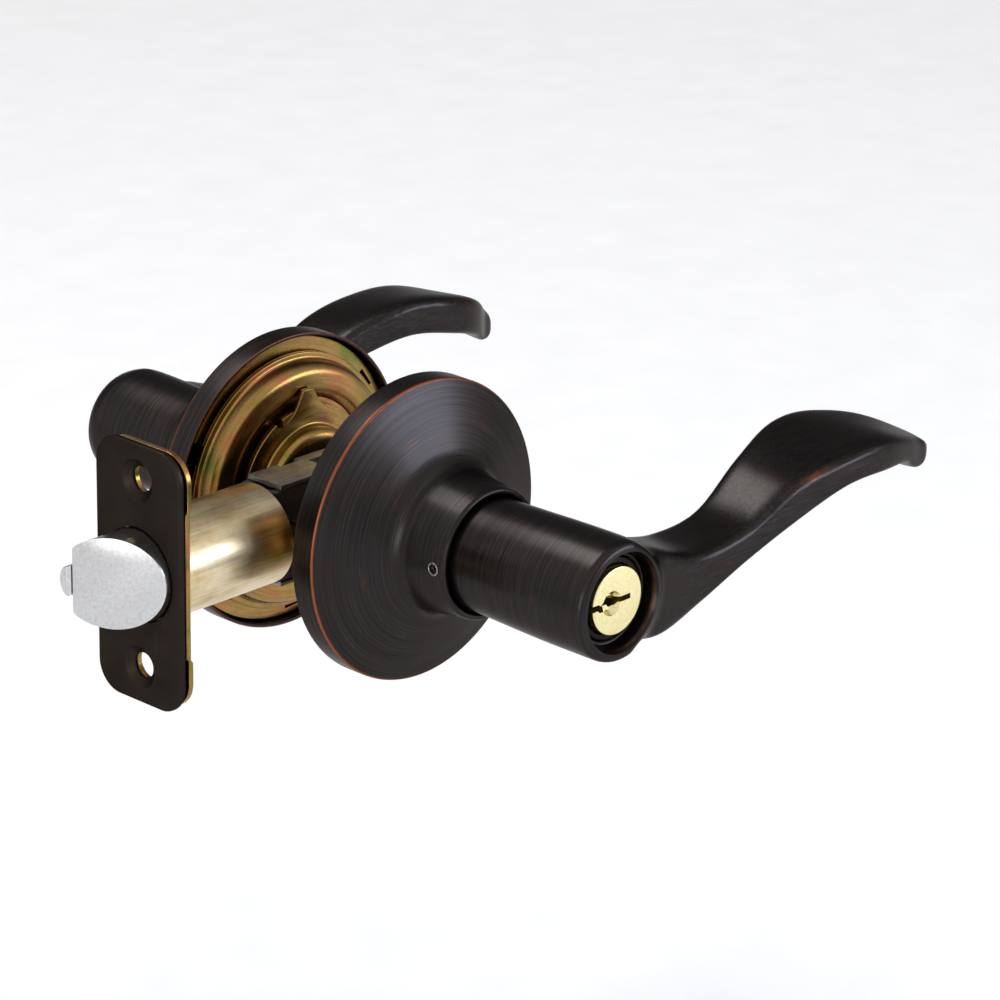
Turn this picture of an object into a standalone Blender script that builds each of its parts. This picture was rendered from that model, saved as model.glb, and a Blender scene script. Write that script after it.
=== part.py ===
"""Keyed lever handle lockset: two lever sides, a spring latch and a key cylinder.

The spindle runs along Y and the latch along X; they cross at the origin, the middle of the door.
The outside is -Y, the door's edge is -X, the levers point to +X. Lengths are in millimetres and
become metres when a mesh is made. A distance called "out" is measured from the middle of the door.
"""
import math

import bmesh
import bpy
import numpy as np
from mathutils import Vector

MM = 0.001
GAP = 0.3

# Door and the standard sizes the lockset is made to
DOOR_HALF = 35.0 / 2
BACKSET = 60.3
FACE_HEIGHT = 57.15
FACE_WIDTH = 25.4
FACE_CORNER = 6.35
FACE_THICK = 1.6
FACE_HOLES = 20.65

# Motion
LEVER_ANGLE = 55.0
BOLT_TRAVEL = 12.7
PLUNGER_TRAVEL = 9.0

# Rose and the plates behind it
ROSE_R = 33.3
ROSE_RIM = DOOR_HALF + 5.5
NECK_R = 14.2
NECK_OUT = 43.0
NECK_BORE_R = 13.1
PLATE_R = 29.0
BOSS_R = 26.3
SHEET = 1.2
SCREW_X = 22.4
PINHOLE_OUT = 40.0

# Lever shank, hub sleeve and what they hold
SHANK_IN = 34.0
SHANK_R = 12.4
HEAD_R = 13.0
HEAD_OUT = 80.2
INSIDE_HEAD_OUT = 72.6
SLEEVE_R = 11.0
SLEEVE_BORE_R = 9.8
SLEEVE_OUT = 52.0
CYLINDER_R = 9.0
PLUG_R = 7.4
PLUG_FACE = 78.4
RING_FACE = 76.8
BUSH_END = 69.5
PIN_OUTS = [58.5 + 3.6 * i for i in range(5)]
SPINDLE_SIDE = 6.0

# Latch
BOLT_R = 10.0
BOLT_TIP = -BACKSET - 11.8
BOLT_REAR = -39.3
BOLT_FLAT = 6.9
PLUNGER_LEAD = 1.2
PLUNGER_REAR = -57.0
TUBE_R = 11.1
TUBE_BORE_R = 10.2
TUBE_END = -26.5
CASE_END = 15.4
CASE_HALF_Z = 11.4
CASE_HALF_Y = 5.0
FINGER_LENGTH = 7.7

# Lever arm, hand-drawn stations: x, then the front and back faces' distance out from the door's
# middle, then the heights of the four edges: top front, top back, low front, low back
ARM_STATIONS = (
    (3, 79.2, 61.0, 10.0, 9.0, -12.6, -9.5),
    (15, 78.0, 61.5, 6.4, 6.0, -13.6, -9.5),
    (30, 75.6, 60.0, 1.5, 2.2, -11.0, -6.5),
    (45, 75.2, 59.5, 2.6, 3.0, -5.7, -2.0),
    (60, 76.4, 57.4, 9.5, 10.8, -0.4, 2.5),
    (75, 77.2, 54.3, 11.5, 14.9, 3.8, 5.6),
    (90, 76.2, 53.6, 11.5, 13.5, 3.5, 3.6),
    (102, 72.6, 58.4, 7.6, 10.2, 1.5, 0.4),
    (109, 70.0, 63.4, 4.7, 6.3, -1.8, -2.2),
    (113.7, 68.6, 65.4, 3.0, 3.2, -1.4, -1.6),
)
# The inside arm starts from a shorter head, joins the same line by LEAN_END, and dips past DIP_START
LEAN_END = 50.0
DIP_START = 70.0
DIP_RATE = 0.0021


def clear_scene():
    for thing in list(bpy.data.objects):
        bpy.data.objects.remove(thing, do_unlink=True)


def material(name, colour, roughness, metallic):
    made = bpy.data.materials.new(name)
    made.use_nodes = True
    shader = made.node_tree.nodes["Principled BSDF"]
    shader.inputs["Base Color"].default_value = (*colour, 1.0)
    shader.inputs["Roughness"].default_value = roughness
    shader.inputs["Metallic"].default_value = metallic
    made.diffuse_color = (*colour, 1.0)
    return made


def add_object(name, bm, finish=None, parent=None, smooth_angle=30):
    """Close the mesh's seams, point its faces out and put it in the scene."""
    bmesh.ops.remove_doubles(bm, verts=bm.verts, dist=1e-7)
    bmesh.ops.recalc_face_normals(bm, faces=bm.faces)
    mesh = bpy.data.meshes.new(name)
    bm.to_mesh(mesh)
    bm.free()
    mesh.shade_smooth()
    mesh.set_sharp_from_angle(angle=math.radians(smooth_angle))
    thing = bpy.data.objects.new(name, mesh)
    bpy.context.collection.objects.link(thing)
    if finish:
        mesh.materials.append(finish)
    if parent:
        thing.parent = parent
    return thing


def joint_empty(name, place=(0, 0, 0), parent=None):
    """The point a moving group turns or slides about; place is in its parent's frame."""
    empty = bpy.data.objects.new(name, None)
    empty.empty_display_size = 0.01
    empty.location = [c * MM for c in place]
    empty.parent = parent
    bpy.context.collection.objects.link(empty)
    return empty


def boolean(target, tool, operation):
    """Leave a Boolean modifier on target; the tool becomes a hidden wire guide."""
    tool.hide_render = True
    tool.display_type = 'WIRE'
    cutting = target.modifiers.new(operation.title() + " " + tool.name, 'BOOLEAN')
    cutting.operation = operation
    cutting.solver = 'EXACT'
    cutting.object = tool


def cut(target, *tools):
    for tool in tools:
        boolean(target, tool, 'DIFFERENCE')


def join(target, *tools):
    for tool in tools:
        boolean(target, tool, 'UNION')


def lathe(name, outline, place, finish=None, parent=None, steps=28):
    """Turn a closed outline of (radius, distance) points; place puts (u, v, distance) in the frame."""
    bm = bmesh.new()
    rings = []
    for radius, along in outline:
        if radius < 1e-6:
            rings.append([bm.verts.new(Vector(place(0, 0, along)) * MM)] * steps)
            continue
        ring = []
        for i in range(steps):
            angle = 2 * math.pi * (i + 0.5) / steps
            point = place(radius * math.cos(angle), radius * math.sin(angle), along)
            ring.append(bm.verts.new(Vector(point) * MM))
        rings.append(ring)
    for here, there in zip(rings, rings[1:] + rings[:1]):
        for i in range(steps):
            corners = [here[i], here[(i + 1) % steps], there[(i + 1) % steps], there[i]]
            kept = list(dict.fromkeys(corners))
            if len(kept) > 2:
                bm.faces.new(kept)
    return add_object(name, bm, finish, parent)


def about_y(side):
    """Place turned work on the spindle axis; side is -1 outside and +1 inside."""
    return lambda u, v, out: (u, side * out, v)


def along_x(y=0.0, z=0.0):
    """Place turned work on a line along X."""
    return lambda u, v, x: (x, y + u, z + v)


def along_y(x=0.0, z=0.0):
    return lambda u, v, y: (x + u, y, z + v)


def rod(radius, low, high):
    return [(0, low), (radius, low), (radius, high), (0, high)]


def tube(outer, inner, low, high):
    return [(inner, low), (outer, low), (outer, high), (inner, high)]


def prism(name, outline, place, low, high, finish=None, parent=None):
    """Extrude a closed flat outline from low to high; place puts (a, b, height) in the frame."""
    bm = bmesh.new()
    bottom = [bm.verts.new(Vector(place(a, b, low)) * MM) for a, b in outline]
    top = [bm.verts.new(Vector(place(a, b, high)) * MM) for a, b in outline]
    bm.faces.new(bottom)
    bm.faces.new(top)
    count = len(outline)
    for i in range(count):
        j = (i + 1) % count
        bm.faces.new((bottom[i], bottom[j], top[j], top[i]))
    return add_object(name, bm, finish, parent)


def on_yz(a, b, x):
    return (x, a, b)


def on_xz(a, b, y):
    return (a, y, b)


def on_xy(a, b, z):
    return (a, b, z)


def box(name, low, high, finish=None, parent=None):
    outline = [(low[0], low[1]), (high[0], low[1]), (high[0], high[1]), (low[0], high[1])]
    return prism(name, outline, on_xy, low[2], high[2], finish, parent)


def rounded_rectangle(width, height, corner, steps=6):
    outline = []
    for quarter, (sx, sy) in enumerate(((1, 1), (-1, 1), (-1, -1), (1, -1))):
        centre = (sx * (width / 2 - corner), sy * (height / 2 - corner))
        for i in range(steps + 1):
            angle = math.pi / 2 * (quarter + i / steps)
            outline.append((centre[0] + corner * math.cos(angle), centre[1] + corner * math.sin(angle)))
    return outline


def coil(name, radius, wire_r, turns, start, end, place, finish, parent=None, per_turn=8, sides=4):
    """A helical wire from start to end along its axis, its two ends capped."""
    bm = bmesh.new()
    count = int(turns * per_turn)
    rings = []
    for i in range(count + 1):
        angle = 2 * math.pi * i / per_turn
        along = start + wire_r + (end - start - 2 * wire_r) * i / count
        ring = []
        for k in range(sides):
            around = 2 * math.pi * k / sides
            r = radius + wire_r * math.cos(around)
            point = place(r * math.cos(angle), r * math.sin(angle), along + wire_r * math.sin(around))
            ring.append(bm.verts.new(Vector(point) * MM))
        rings.append(ring)
    for here, there in zip(rings, rings[1:]):
        for k in range(sides):
            j = (k + 1) % sides
            bm.faces.new((here[k], here[j], there[j], there[k]))
    bm.faces.new(rings[0])
    bm.faces.new(rings[-1])
    return add_object(name, bm, finish, parent)


def smooth_values(xs, ys, at):
    """A smooth curve through hand-set points, by cubic pieces with averaged slopes."""
    slopes = np.gradient(np.array(ys, float), np.array(xs, float))
    i = min(max(int(np.searchsorted(xs, at)) - 1, 0), len(xs) - 2)
    span = xs[i + 1] - xs[i]
    t = (at - xs[i]) / span
    return ((2 * t ** 3 - 3 * t ** 2 + 1) * ys[i] + (t ** 3 - 2 * t ** 2 + t) * span * slopes[i]
            + (3 * t ** 2 - 2 * t ** 3) * ys[i + 1] + (t ** 3 - t ** 2) * span * slopes[i + 1])


def arm_values(x, side):
    """Front and back distances out, then the four edges' heights, at x along one side's arm."""
    xs = [station[0] for station in ARM_STATIONS]
    values = [smooth_values(xs, [station[k] for station in ARM_STATIONS], x) for k in range(1, 7)]
    if side > 0:
        share = min(x / LEAN_END, 1.0)
        values[0] -= (HEAD_OUT - INSIDE_HEAD_OUT) * (1 - share ** 2 * (3 - 2 * share))
        dip = DIP_RATE * max(0.0, x - DIP_START) ** 2
        values[2:] = [height - dip for height in values[2:]]
    return values


def arm_section(x, side, points=16, squareness=5.0):
    """The arm's rounded four-cornered section at x."""
    front, back, top_f, top_b, low_f, low_b = arm_values(x, side)
    ring = []
    for i in range(points):
        angle = 2 * math.pi * (i + 0.5) / points
        u = math.copysign(abs(math.cos(angle)) ** (2 / squareness), math.cos(angle)) / 2 + 0.5
        v = math.copysign(abs(math.sin(angle)) ** (2 / squareness), math.sin(angle)) / 2 + 0.5
        out = back + (front - back) * u
        low = low_b + (low_f - low_b) * u
        high = top_b + (top_f - top_b) * u
        ring.append((x, side * out, low + (high - low) * v))
    return ring


def lever_arm(name, side):
    """The swept arm alone, a guide that is joined to the shank."""
    bm = bmesh.new()
    stops = [3, 9, 15, 22, 30, 37, 44, 51, 58, 66, 74, 82, 90, 96, 102, 106, 109, 111.5, 113.7]
    rings = [[bm.verts.new(Vector(p) * MM) for p in arm_section(x, side)] for x in stops]
    for here, there in zip(rings, rings[1:]):
        for i in range(len(here)):
            j = (i + 1) % len(here)
            bm.faces.new((here[i], here[j], there[j], there[i]))
    bm.faces.new(rings[0])
    bm.faces.new(rings[-1])
    return add_object(name, bm)


def lever(name, side, head_out, head_edge, bore, parent, finish):
    """Shank and head turned about the spindle axis, with the arm joined on and the bore cut last."""
    shank = [(0, SHANK_IN), (SHANK_R - 0.4, SHANK_IN), (SHANK_R, SHANK_IN + 0.5), (SHANK_R, 45)]
    outline = shank + [(HEAD_R - 0.1, 66)] + head_edge + [(0, head_out)]
    made = lathe(name, outline, about_y(side), finish, parent, steps=32)
    join(made, lever_arm(name + "_arm_guide", side))
    cut(made, lathe(name + "_bore_guide", bore, about_y(side), steps=32))
    catch_hole = lathe(name + "_catch_guide", rod(1.6, -16, -9), along_x(y=side * PINHOLE_OUT), steps=12)
    cut(made, catch_hole)
    return made


def lever_side(word, side, turn, finishes):
    """Everything on one face of the door that both sides have; the hub and lever ride on turn."""
    dark, zinc, spring_steel = finishes
    place = about_y(side)
    rim = ROSE_RIM
    rose_outline = [
        (ROSE_R, DOOR_HALF), (ROSE_R, rim - 0.4), (ROSE_R - 0.4, rim + 0.1), (ROSE_R - 1.0, rim + 0.5),
        (25.0, 26.2), (18.6, 28.7), (16.8, 30.2), (15.6, 32.8), (14.9, 36.5), (14.5, 41.6),
        (NECK_R, 42.6), (NECK_R - 0.5, NECK_OUT), (NECK_BORE_R, NECK_OUT - 0.2),
        (NECK_BORE_R, 33.0), (14.6, 30.0), (17.4, 27.7), (24.4, 25.0), (31.4, 22.3), (32.3, 21.8),
        (32.3, DOOR_HALF)]
    rose = lathe(word + "_rose", rose_outline, place, dark, steps=40)
    pinhole = lathe(word + "_pinhole_guide", rod(1.4, -18, -10), along_x(y=side * PINHOLE_OUT), steps=12)
    cut(rose, pinhole)
    lathe(word + "_rose_liner", tube(32.0, 24.0, 19.6, 20.6), place, zinc, steps=40)

    front = DOOR_HALF - 4.0
    plate_outline = [
        (PLATE_R, DOOR_HALF), (BOSS_R + 0.5, DOOR_HALF), (BOSS_R, DOOR_HALF - 0.5),
        (BOSS_R - 0.2, front + 1.6), (BOSS_R - 0.8, front + 0.5), (BOSS_R - 2.0, front), (19.4, front),
        (19.4, front + SHEET), (BOSS_R - 2.2, front + SHEET), (BOSS_R - 1.4, front + 1.7),
        (BOSS_R - 1.1, front + 2.6), (BOSS_R - 1.0, DOOR_HALF + 0.8), (BOSS_R - 0.5, DOOR_HALF + SHEET),
        (PLATE_R, DOOR_HALF + SHEET)]
    plate = lathe(word + "_mounting_plate", plate_outline, place, zinc, steps=36)
    if side > 0:
        for x in (-SCREW_X, SCREW_X):
            cut(plate, lathe("plate_hole_guide", rod(1.9, 10, 20), along_y(x), steps=12))
    lathe(word + "_bearing_plate", tube(19.8, SLEEVE_R + 0.4, 15.0, 16.2), place, zinc)
    coil(word + "_lever_spring", 13.2, 0.7, 3.0, 18.0, 24.5, place, spring_steel, per_turn=12)

    hub_outline = [
        (0, 8.6), (11.6, 8.6), (13.0, 9.3), (13.8, 10.6), (13.9, 12.4), (18.5, 12.6), (18.5, 13.8),
        (SLEEVE_R, 13.8), (SLEEVE_R, SLEEVE_OUT), (SLEEVE_BORE_R, SLEEVE_OUT), (SLEEVE_BORE_R, 10.4),
        (0, 10.4)]
    hub = lathe(word + "_hub", hub_outline, place, zinc, turn)
    tab = [(-6.4, 16.4), (6.4, 16.4), (3.0, 19.4), (1.5, 22.4), (-1.3, 22.5), (-3.4, 19.2)]
    tab_guide = prism(word + "_stop_tab_guide", tab, on_xz, side * 12.0, side * 13.1)
    join(hub, tab_guide)
    half = SPINDLE_SIDE / 2 + GAP
    square = box(word + "_square_guide", (-half, min(side * 7, side * 12), -half),
                 (half, max(side * 7, side * 12), half))
    catch_line = along_x(y=side * PINHOLE_OUT)
    cut(hub, square, lathe(word + "_hub_catch_guide", rod(1.6, -13, -7), catch_line, steps=12))

    ring_outline = tube(14.0, SLEEVE_R + GAP, 16.5, 17.5)
    ring = lathe(word + "_retaining_ring", ring_outline, place, spring_steel, turn)
    cut(ring, box(word + "_ring_guide", (-2.5, -20, -16), (2.5, 20, -8)))

    slide = joint_empty(word + "_catch_slide", (-12.3, side * PINHOLE_OUT, 0), turn)
    catch = lathe(word + "_lever_catch", rod(1.2, 0, 3.4), along_x(), spring_steel, slide, steps=12)
    strip = box(word + "_catch_guide", (3.1, -4, -1.9), (3.8, 5, 1.9), parent=slide)
    join(catch, strip)


def along_relief(u, v, out):
    """The shallow round relief beside the keyway, above it on the plug's face."""
    return (-1.6 + u, -out, 0.6 + v)


def exterior_details(turn, finishes):
    """The outside lever with its key cylinder: housing, pins, plug and the blade it turns."""
    dark, dark_ring, brass, spring_steel = finishes
    place = about_y(-1)
    edge = [(HEAD_R, HEAD_OUT - 1.9), (HEAD_R - 0.35, HEAD_OUT - 0.8), (HEAD_R - 0.9, HEAD_OUT - 0.2),
            (HEAD_R - 1.5, HEAD_OUT)]
    bore = [(0, SHANK_IN - 1), (SLEEVE_R + GAP, SHANK_IN - 1), (SLEEVE_R + GAP, SLEEVE_OUT + 0.6),
            (CYLINDER_R + GAP, SLEEVE_OUT + 0.6), (CYLINDER_R + GAP, 76.2), (10.1, 76.2), (10.3, 79.0),
            (11.4, 81.0), (0, 81.0)]
    outside_lever = lever("exterior_lever", -1, HEAD_OUT, edge, bore, turn, dark)
    cut(outside_lever, box("bible_pocket_guide", (4, -75.6, -3.2), (11.6, -SLEEVE_OUT, 3.2)))

    housing = lathe("cylinder_housing", rod(CYLINDER_R, 53.0, RING_FACE), place, dark_ring, turn)
    join(housing, box("bible_guide", (5, -75.2, -2.9), (11.3, -55.5, 2.9)))
    cut(housing, lathe("plug_bore_guide", rod(PLUG_R + GAP, 50, 80), place))
    plug_axis = joint_empty("key_plug_axis", parent=turn)
    plug = lathe("key_plug", rod(PLUG_R, 53.4, PLUG_FACE), place, brass, plug_axis)
    cut(plug, box("keyway_guide", (-8, -79, -0.65), (3.9, -55.5, 0.65)))
    cut(plug, lathe("keyway_relief_guide", rod(2.2, 77.2, 79), along_relief, steps=16))
    for number, out in enumerate(PIN_OUTS, 1):
        chamber = lathe("chamber_guide", rod(1.45, 1.2, 10.9), along_x(y=-out), steps=12)
        cut(housing, chamber)
        cut(plug, chamber)
        label = str(number)
        lathe("key_pin_" + label, rod(1.15, 1.6, 6.8), along_x(y=-out), brass, plug_axis, steps=10)
        lathe("driver_pin_" + label, rod(1.15, 7.6, 9.0), along_x(y=-out), brass, turn, steps=10)
        coil("pin_spring_" + label, 0.9, 0.16, 2.5, 9.25, 10.75, along_x(y=-out), spring_steel, turn)
    box("tail_blade", (-1.6, -53.1, -0.5), (1.6, 44.0, 0.5), spring_steel, plug_axis)


def interior_details(turn, finishes):
    """The inside lever with its bush and turn button."""
    dark, black = finishes
    place = about_y(1)
    end = INSIDE_HEAD_OUT
    edge = [(HEAD_R, end - 5.5), (HEAD_R - 0.5, end - 3.2), (HEAD_R - 1.6, end - 1.4),
            (HEAD_R - 3.3, end - 0.3), (HEAD_R - 5.0, end)]
    bore = [(0, SHANK_IN - 1), (SLEEVE_R + GAP, SHANK_IN - 1), (SLEEVE_R + GAP, SLEEVE_OUT + 0.6),
            (CYLINDER_R + GAP, SLEEVE_OUT + 0.6), (CYLINDER_R + GAP, BUSH_END + 0.3), (7.1, BUSH_END + 0.3),
            (7.1, end + 1), (0, end + 1)]
    lever("interior_lever", 1, end, edge, bore, turn, dark)
    lathe("button_bush", tube(CYLINDER_R, 2.6, 53.0, BUSH_END), place, black, turn)
    button_axis = joint_empty("turn_button_axis", parent=turn)
    base, rim = BUSH_END + 0.6, BUSH_END + 3.6
    outline = [(0, 44.4), (2.2, 44.4), (2.2, base), (6.8, base), (6.8, rim - 0.5), (6.3, rim), (0, rim)]
    button = lathe("turn_button", outline, place, dark, button_axis, steps=28)
    join(button, box("thumb_bar_guide", (-1.6, rim - 1, -4.8), (1.6, rim + 2.3, 4.8)))


def through_bolts(finishes):
    """The outside plate's two threaded posts and the screws that come through from the inside."""
    zinc, screw_steel = finishes
    for word, x in (("left", -SCREW_X), ("right", SCREW_X)):
        lathe("screw_post_" + word, tube(2.4, 1.85, -13.2, 6.0), along_y(x), zinc, steps=16)
        shank = [(0, -6), (1.5, -6), (1.5, 15.0), (2.1, 15.0), (2.1, 16.2), (1.5, 16.8), (0, 16.8)]
        screw = lathe("mounting_screw_" + word, shank, along_y(x), screw_steel, steps=16)
        cut(screw, box("screw_slot_guide_" + word, (x - 3, 16.3, -0.35), (x + 3, 18, 0.35)))


def latch_body(finishes):
    """The latch's fixed pieces: face, backplate, tube, case and the plastic cam housing."""
    dark, zinc, champagne, grey_steel, black = finishes
    front = -BACKSET
    outline = rounded_rectangle(FACE_WIDTH, FACE_HEIGHT, FACE_CORNER)
    face = prism("latch_faceplate", outline, on_yz, front, front + FACE_THICK, dark)
    cut(face, lathe("face_bolt_guide", rod(BOLT_R + 0.4, front - 2, front + 5), along_x()))
    for z in (-FACE_HOLES, FACE_HOLES):
        sink = [(0, front - 1), (4.6, front - 1), (4.6, front), (2.7, front + 1.3), (2.7, front + 3),
                (0, front + 3)]
        cut(face, lathe("countersink_guide", sink, along_x(z=z), steps=24))

    back = front + FACE_THICK + GAP
    strip = [(back, -15.6), (back, 15.6), (back + 0.6, 16.4), (back + 0.6, 30), (back + 1.8, 30),
             (back + 1.8, 17.0), (back + SHEET, 16.2), (back + SHEET, -16.2), (back + 1.8, -17.0),
             (back + 1.8, -30), (back + 0.6, -30), (back + 0.6, -16.4)]
    backplate = prism("latch_backplate", strip, on_xz, -14, 14, zinc)
    trimmed = rounded_rectangle(FACE_WIDTH - 0.3, FACE_HEIGHT - 0.3, FACE_CORNER)
    boolean(backplate, prism("backplate_guide", trimmed, on_yz, back - 2, back + 4), 'INTERSECT')
    cut(backplate, lathe("backplate_bolt_guide", rod(BOLT_R + 0.4, back - 3, back + 5), along_x()))
    for z in (-FACE_HOLES, FACE_HOLES):
        cut(backplate, lathe("backplate_hole_guide", rod(3.3, back - 3, back + 5), along_x(z=z), steps=20))

    barrel = tube(TUBE_R, TUBE_BORE_R, back + SHEET + GAP, TUBE_END)
    lathe("latch_tube", barrel, along_x(), champagne, steps=32)
    leg, end, tall = -24.5, CASE_END, CASE_HALF_Z
    channel = [(leg, tall), (end, tall), (end, -tall), (leg, -tall), (leg, 1 - tall), (end - 1, 1 - tall),
               (end - 1, tall - 1), (leg, tall - 1)]
    prism("latch_case", channel, on_xz, -CASE_HALF_Y, CASE_HALF_Y, grey_steel)

    start, stop, wall = TUBE_END + GAP, CASE_END - 1.6, 3.2
    shell = [(start, -CASE_HALF_Y), (stop, -CASE_HALF_Y), (stop, -wall), (start + 0.8, -wall),
             (start + 0.8, wall), (stop, wall), (stop, CASE_HALF_Y), (start, CASE_HALF_Y)]
    tall = CASE_HALF_Z - 1 - GAP
    housing = prism("cam_housing", shell, on_xy, -tall, tall, black)
    for low, high in ((7.9, 12), (-12, -7.9)):
        cut(housing, box("fork_window_guide", (start - 1, -2, low), (start + 1.5, 2, high)))
    cut(housing, lathe("hub_hole_guide", rod(5.8, -8, 8), along_y(), steps=28))
    cut(housing, lathe("post_hole_guide", rod(2.8, -8, 8), along_y(-SCREW_X), steps=20))


def fork_arm(name, sign):
    """One of the bolt's two tail bars, with the lug that the cam's finger pushes."""
    outline = [(-44, 8.2), (-1.4, 8.2), (-1.4, 5.9), (0.8, 5.9), (0.8, 9.6), (-44, 9.6)]
    return prism(name, [(x, sign * z) for x, z in outline], on_xz, -1.6, 1.6)


def latch_moving(finishes):
    """The bolt with its forked tail and spring, and the deadlocking plunger beside it."""
    satin_chrome, spring_steel = finishes
    slide = joint_empty("latchbolt_slide", (BOLT_TIP, 0, 0))
    shift = -BOLT_TIP
    bolt = lathe("latchbolt", rod(BOLT_R, 0, BOLT_REAR + shift), along_x(), satin_chrome, slide, steps=32)
    bevel = [(-0.4, 7.54), (10.9, -10.6), (-8, -12), (-8, 9)]
    pocket = rod(4.3, -62 + shift, BOLT_REAR + shift + 2)
    cut(bolt,
        prism("bolt_bevel_guide", bevel, on_xy, -12, 12, parent=slide),
        box("bolt_flat_guide", (-2, BOLT_FLAT, -12), (-42 + shift, 12, 12), parent=slide),
        lathe("bolt_pocket_guide", pocket, along_x(), parent=slide, steps=24))
    join(bolt, fork_arm("fork_top_guide", 1), fork_arm("fork_low_guide", -1))
    coil("bolt_spring", 3.5, 0.45, 8.0, -61.6, TUBE_END, along_x(), spring_steel)

    plunger_slide = joint_empty("plunger_slide", (-PLUNGER_LEAD, 0, 0), slide)
    plunger_length = PLUNGER_REAR - BOLT_TIP + PLUNGER_LEAD
    section = [(7.2, -3.3), (7.2, 3.3)]
    for i in range(1, 8):
        angle = math.pi * i / 8
        section.append((7.2 + 2.4 * math.sin(angle), 3.3 * math.cos(angle)))
    plunger = prism("deadlatch_plunger", section, on_yz, 0, plunger_length, satin_chrome, plunger_slide)
    nose = [(-1, 6), (1.2, 6), (-1, 9.0)]
    cut(plunger, prism("plunger_bevel_guide", nose, on_xy, -5, 5, parent=plunger_slide))
    coil("plunger_spring", 0.85, 0.22, 6.0, -56.7, -42.3, along_x(y=8.35), spring_steel,
         slide_free(slide))


def slide_free(slide):
    """An empty at the frame's origin that moves with a slide, for pieces placed in the frame."""
    return joint_empty(slide.name + "_frame", tuple(-c / MM for c in slide.location), slide)


def latch_cam(finishes):
    """The square spindle tube and the two-fingered cam it turns inside the latch."""
    zinc, grey_steel = finishes
    axis = joint_empty("spindle_axis")
    cam = lathe("latch_cam", rod(5.4, -5.2, 5.2), along_y(), grey_steel, axis, steps=28)
    lean = math.radians(LEVER_ANGLE / 2)
    for sign in (1, -1):
        out = Vector((-math.sin(lean), sign * math.cos(lean)))
        across = Vector((out.y, -out.x)) * 1.2
        tip = out * FINGER_LENGTH
        finger = [tuple(p) for p in (across, tip + across, tip - across, -across)]
        join(cam, prism("finger_guide", finger, on_xz, -1.5, 1.5))
    half = SPINDLE_SIDE / 2
    hole = half + GAP
    cut(cam, box("cam_square_guide", (-hole, -8, -hole), (hole, 8, hole)))
    spindle = box("spindle", (-half, -18, -half), (half, 18, half), zinc, axis)
    cut(spindle, lathe("spindle_bore_guide", rod(2.2, -20, 20), along_y(), steps=16))


def main():
    clear_scene()
    dark = material("oil_rubbed_bronze", (0.035, 0.030, 0.030), 0.38, 0.9)
    face_bronze = material("satin_face_bronze", (0.085, 0.072, 0.065), 0.45, 0.8)
    zinc = material("yellow_zinc_plate", (0.55, 0.40, 0.17), 0.32, 1.0)
    champagne = material("pale_zinc_tube", (0.62, 0.52, 0.36), 0.30, 1.0)
    satin_chrome = material("satin_chrome", (0.72, 0.72, 0.72), 0.28, 1.0)
    brass = material("polished_brass", (0.85, 0.76, 0.48), 0.20, 1.0)
    grey_steel = material("grey_steel", (0.42, 0.42, 0.42), 0.40, 1.0)
    spring_steel = material("spring_steel", (0.50, 0.50, 0.50), 0.35, 1.0)
    black = material("black_plastic", (0.02, 0.02, 0.022), 0.5, 0.0)

    outside_turn = joint_empty("exterior_lever_axis")
    inside_turn = joint_empty("interior_lever_axis")
    lever_side("exterior", -1, outside_turn, (dark, zinc, spring_steel))
    lever_side("interior", 1, inside_turn, (dark, zinc, spring_steel))
    exterior_details(outside_turn, (dark, face_bronze, brass, spring_steel))
    interior_details(inside_turn, (dark, black))
    through_bolts((zinc, grey_steel))
    latch_body((face_bronze, zinc, champagne, grey_steel, black))
    latch_moving((satin_chrome, spring_steel))
    latch_cam((zinc, grey_steel))


main()
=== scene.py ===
"""Looks for the keyed lever lockset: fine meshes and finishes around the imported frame.

Lengths in this file are millimetres. The spindle runs along Y and the latch along X; "out" is a
distance from the middle of the door, towards either side.
"""
import math

import bmesh
import bpy
import numpy as np
from mathutils import Matrix, Vector


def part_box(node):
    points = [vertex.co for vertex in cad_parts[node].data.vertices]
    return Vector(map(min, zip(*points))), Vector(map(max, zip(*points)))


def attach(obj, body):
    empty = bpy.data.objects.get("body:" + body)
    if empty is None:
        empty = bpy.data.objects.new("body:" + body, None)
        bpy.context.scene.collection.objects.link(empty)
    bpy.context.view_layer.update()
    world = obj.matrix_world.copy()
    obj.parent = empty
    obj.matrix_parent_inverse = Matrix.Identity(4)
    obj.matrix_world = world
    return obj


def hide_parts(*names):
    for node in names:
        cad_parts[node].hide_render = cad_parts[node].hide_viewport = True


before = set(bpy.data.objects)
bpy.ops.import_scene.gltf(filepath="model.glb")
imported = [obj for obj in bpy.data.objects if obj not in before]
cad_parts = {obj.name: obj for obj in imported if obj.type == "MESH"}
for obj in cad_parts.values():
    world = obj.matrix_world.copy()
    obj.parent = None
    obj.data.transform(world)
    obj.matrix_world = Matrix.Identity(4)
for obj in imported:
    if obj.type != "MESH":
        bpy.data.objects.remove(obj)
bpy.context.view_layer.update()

MM = 0.001


# ---------------------------------------------------------------- sizes taken from the frame

def extent(node, axis, end):
    """One side of a CAD node's box, in millimetres: end 0 is the low side, 1 the high side."""
    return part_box(node)[end][axis] / MM


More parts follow.
